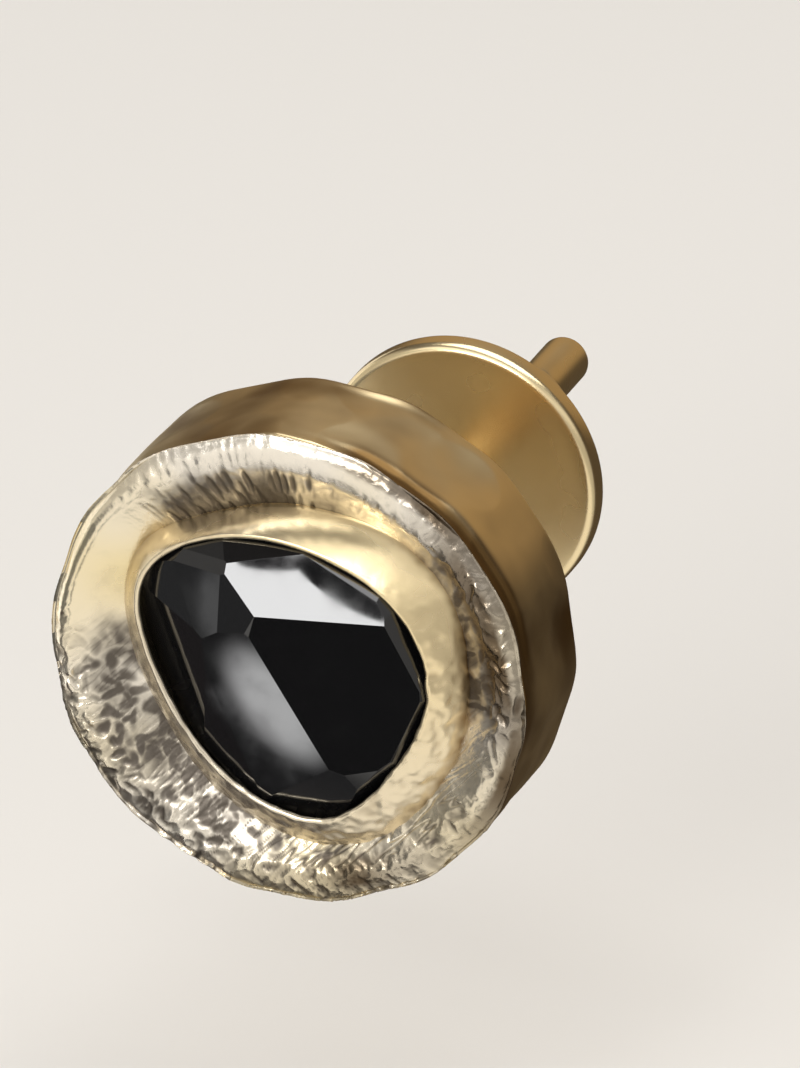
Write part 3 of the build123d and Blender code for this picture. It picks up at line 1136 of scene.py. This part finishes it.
class STUD_OT_stage(Operator):
    """Make the pale floor, the soft lights and the camera"""

    bl_idname = "stud.stage"
    bl_label = "Stage"

    def execute(self, context):
        stage = context.scene.stud.stage
        self.make_floor(stage)
        for light in SOFTBOXES:
            self.make_softbox(light)
        to_camera = towards(degrees(stage.azimuth), degrees(stage.elevation), 1)
        look = to_camera.to_track_quat("Z", "Y")
        for card in CARDS:
            self.make_card(card, look)
        self.make_surroundings(context.scene)
        self.make_camera(context.scene, stage, to_camera, look)
        context.scene.view_settings.view_transform = "Standard"
        return {"FINISHED"}

    def make_floor(self, stage):
        """The plain pale floor below the earring."""
        bm = bmesh.new()
        bmesh.ops.create_grid(bm, x_segments=1, y_segments=1, size=1.0)
        bmesh.ops.translate(bm, verts=bm.verts, vec=(0, 0, -stage.floor_drop))
        mesh = bpy.data.meshes.new("floor")
        bm.to_mesh(mesh)
        bm.free()
        material, tree, output = new_material("pale matt paper")
        shader = add_node(
            tree, "ShaderNodeBsdfPrincipled", {"Base Color": opaque(stage.floor), "Roughness": 0.9}
        )
        tree.links.new(shader.outputs[0], output.inputs["Surface"])
        mesh.materials.append(material)
        floor = bpy.data.objects.new("floor", mesh)
        floor.visible_glossy = False
        floor.visible_shadow = False
        bpy.context.scene.collection.objects.link(floor)

    def make_softbox(self, light):
        """A soft light that looks at the earring."""
        lamp = bpy.data.lights.new(light.name, "AREA")
        lamp.shape = "RECTANGLE"
        lamp.size, lamp.size_y = light.width * MM, light.height * MM
        lamp.energy = light.brightness * pi * lamp.size * lamp.size_y
        box = bpy.data.objects.new(light.name, lamp)
        box.location = towards(light.azimuth, light.elevation, light.distance * MM)
        box.rotation_euler = box.location.to_track_quat("Z", "Y").to_euler()
        box.visible_camera = False
        bpy.context.scene.collection.objects.link(box)

    def make_card(self, card, look):
        """A card with soft edges where a facet of the stone mirrors it to the camera."""
        slope = radians(card.slope)
        outwards = AS_WORN.to_3x3() @ on_bench(card.bearing, sin(slope), cos(slope))
        spot = AS_WORN @ (Vector((card.x, card.y, FACE_HEIGHT)) * MM)
        across, up, back = (axis.reflect(outwards) for axis in look.to_matrix().transposed())
        turn = Matrix((across, up, -back)).transposed().to_4x4()
        roll = Matrix.Rotation(radians(card.roll), 4, "Z")
        place = Matrix.Translation(spot - back * card.distance * MM)
        bm = bmesh.new()
        bm.loops.layers.uv.new("UVMap")
        bmesh.ops.create_grid(bm, x_segments=1, y_segments=1, size=0.5, calc_uvs=True)
        bmesh.ops.scale(bm, verts=bm.verts, vec=(card.width * MM, card.height * MM, 1))
        bmesh.ops.transform(bm, verts=bm.verts, matrix=place @ turn @ roll)
        mesh = bpy.data.meshes.new(card.name)
        bm.to_mesh(mesh)
        bm.free()
        mesh.materials.append(self.card_light(card))
        made = bpy.data.objects.new(card.name, mesh)
        made.visible_camera = False
        made.visible_diffuse = False
        made.visible_shadow = False
        made.visible_transmission = False
        bpy.context.scene.collection.objects.link(made)

    def card_light(self, card):
        """An even light that fades out towards the card's edge."""
        material, tree, output = new_material(card.name)
        across = add_node(tree, "ShaderNodeTexCoord").outputs["UV"]
        middle = add_node(
            tree, "ShaderNodeMapping", {"Vector": across, "Location": (-1, -1, 0), "Scale": (2, 2, 0)}
        )
        inwards = add_node(
            tree, "ShaderNodeTexGradient", {"Vector": middle.outputs[0]}, gradient_type="SPHERICAL"
        )
        share = add_node(
            tree, "ShaderNodeMapRange",
            {"Value": inwards.outputs["Fac"], "From Min": 0.0, "From Max": card.softness},
            interpolation_type="SMOOTHSTEP",
        )
        shine = add_node(tree, "ShaderNodeEmission", {"Strength": card.brightness})
        clear = add_node(tree, "ShaderNodeBsdfTransparent")
        mixed = add_node(
            tree, "ShaderNodeMixShader", {0: share.outputs[0], 1: clear.outputs[0], 2: shine.outputs[0]}
        )
        tree.links.new(mixed.outputs[0], output.inputs["Surface"])
        return material

    def make_surroundings(self, scene):
        """The dim room round the stage, with its lighter and darker parts."""
        world = bpy.data.worlds.new("dim room")
        world.use_nodes = True
        tree = world.node_tree
        tree.nodes.clear()
        way = add_node(tree, "ShaderNodeTexCoord").outputs["Generated"]
        colour = opaque(ROOM_FRONT)
        for part in ROOM:
            middle = towards(part.azimuth, part.elevation, 1)
            near = add_node(tree, "ShaderNodeVectorMath", {0: way, 1: middle}, operation="DOT_PRODUCT")
            share = add_node(
                tree, "ShaderNodeMapRange",
                {
                    "Value": near.outputs["Value"],
                    "From Min": cos(radians(part.reach + ROOM_SOFTNESS)),
                    "From Max": cos(radians(part.reach - ROOM_SOFTNESS)),
                },
                interpolation_type="SMOOTHSTEP",
            )
            patch = opaque((part.red, part.green, part.blue))
            laid = add_node(
                tree, "ShaderNodeMix", {SHARE: share.outputs[0], FIRST: colour, SECOND: patch},
                data_type="RGBA",
            )
            colour = laid.outputs[MIXED]
        glow = add_node(tree, "ShaderNodeBackground", {"Color": colour})
        output = add_node(tree, "ShaderNodeOutputWorld")
        tree.links.new(glow.outputs[0], output.inputs["Surface"])
        scene.world = world

    def make_camera(self, scene, stage, to_camera, look):
        """The camera at the photograph's viewing angle, framing the whole earring."""
        lens = bpy.data.cameras.new("camera")
        lens.lens = stage.lens
        lens.dof.use_dof = False
        lens.clip_start, lens.clip_end = 1 * MM, 10
        camera = bpy.data.objects.new("camera", lens)
        aim = look @ Vector(CAMERA_AIM)
        camera.location = aim + to_camera * stage.view_height * lens.lens / lens.sensor_width
        camera.rotation_euler = look.to_euler()
        scene.collection.objects.link(camera)
        scene.camera = camera


OPERATORS = [
    STUD_OT_hammered_ring,
    STUD_OT_collar,
    STUD_OT_drum_wall,
    STUD_OT_post,
    STUD_OT_stone,
    STUD_OT_ear_nut,
    STUD_OT_stage,
]


class VIEW3D_PT_stud(Panel):
    """Buttons and settings of the stud earring"""

    bl_label = "Stud Earring"
    bl_space_type = "VIEW_3D"
    bl_region_type = "UI"
    bl_category = "Stud"

    def draw(self, context):
        for operator in OPERATORS:
            self.layout.operator(operator.bl_idname)
        for name in StudSettings.__annotations__:
            settings = getattr(context.scene.stud, name)
            box = self.layout.box()
            box.label(text=name.title())
            for setting in settings.__annotations__:
                box.prop(settings, setting)


CLASSES = [
    RingSettings, CollarSettings, SideSettings, MetalSettings, PostSettings, NutSettings,
    StoneSettings, StageSettings, StudSettings, *OPERATORS, VIEW3D_PT_stud,
]


def register():
    """Adds the settings, operators and panel."""
    for made in CLASSES:
        bpy.utils.register_class(made)
    bpy.types.Scene.stud = PointerProperty(type=StudSettings)


def unregister():
    """Takes the settings, operators and panel away."""
    del bpy.types.Scene.stud
    for made in reversed(CLASSES):
        bpy.utils.unregister_class(made)


def main():
    """Makes every piece in order."""
    register()
    for operator in OPERATORS:
        family, name = operator.bl_idname.split(".")
        getattr(getattr(bpy.ops, family), name)()


if __name__ == "__main__":
    main()
